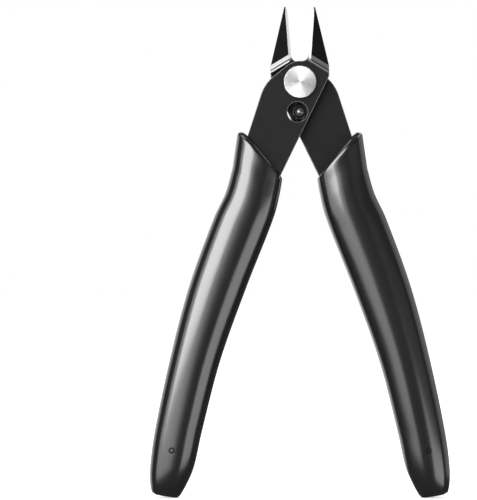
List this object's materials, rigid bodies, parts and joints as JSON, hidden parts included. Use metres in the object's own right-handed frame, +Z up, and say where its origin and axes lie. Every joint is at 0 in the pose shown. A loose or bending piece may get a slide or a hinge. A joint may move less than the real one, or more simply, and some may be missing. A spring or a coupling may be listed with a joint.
{
  "type": "sprue nippers",
  "caption": "Small flush-cutting nippers with crossed stamped steel halves, a riveted pivot, a sprung-open action and long curved dipped grips.",
  "frame": {"origin": "on the floor, midway between the feet of the two grips and in the middle of the tool's thickness", "axes": "+Z up from the feet to the jaw tips, +X to the right as seen from the front, -Y towards the viewer, out of the rivet's wide head"},
  "size_m": [0.0752, 0.0098, 0.1232],
  "materials": {
    "blade_steel": "satin black oxide over ground steel, bare along the cutting edges",
    "rivet_steel": "bright spun face with fine turning lines",
    "spring_steel": "dark polished spring wire and pin",
    "grip_vinyl": "glossy black dipped vinyl"
  },
  "bodies": {
    "front_body": {"front_half": "blade_steel", "left_grip": "grip_vinyl", "pivot_rivet": "rivet_steel", "pivot_collar": "rivet_steel"},
    "rear_body": {"rear_half": "blade_steel", "right_grip": "grip_vinyl"},
    "spring_body": {"spring_pin": "spring_steel", "return_spring": "spring_steel"}
  },
  "joints": [
    {"name": "jaw_pivot", "type": "hinge", "parent": "front_body", "child": "rear_body", "pos_m": [0, 0, 0.1041], "axis": [0, 1, 0], "range_deg": [0, 19.8], "stiffness_Nm_per_rad": 0.9, "springref_deg": -14.32, "deforming": ["return_spring"]},
    {"name": "spring_swing", "type": "hinge", "parent": "front_body", "child": "spring_body", "pos_m": [0, 0, 0.1041], "axis": [0, 1, 0], "range_deg": [0, 9.9]}
  ],
  "couplings": [
    {"joint": "spring_swing", "follows": "jaw_pivot", "ratio": 0.5}
  ]
}
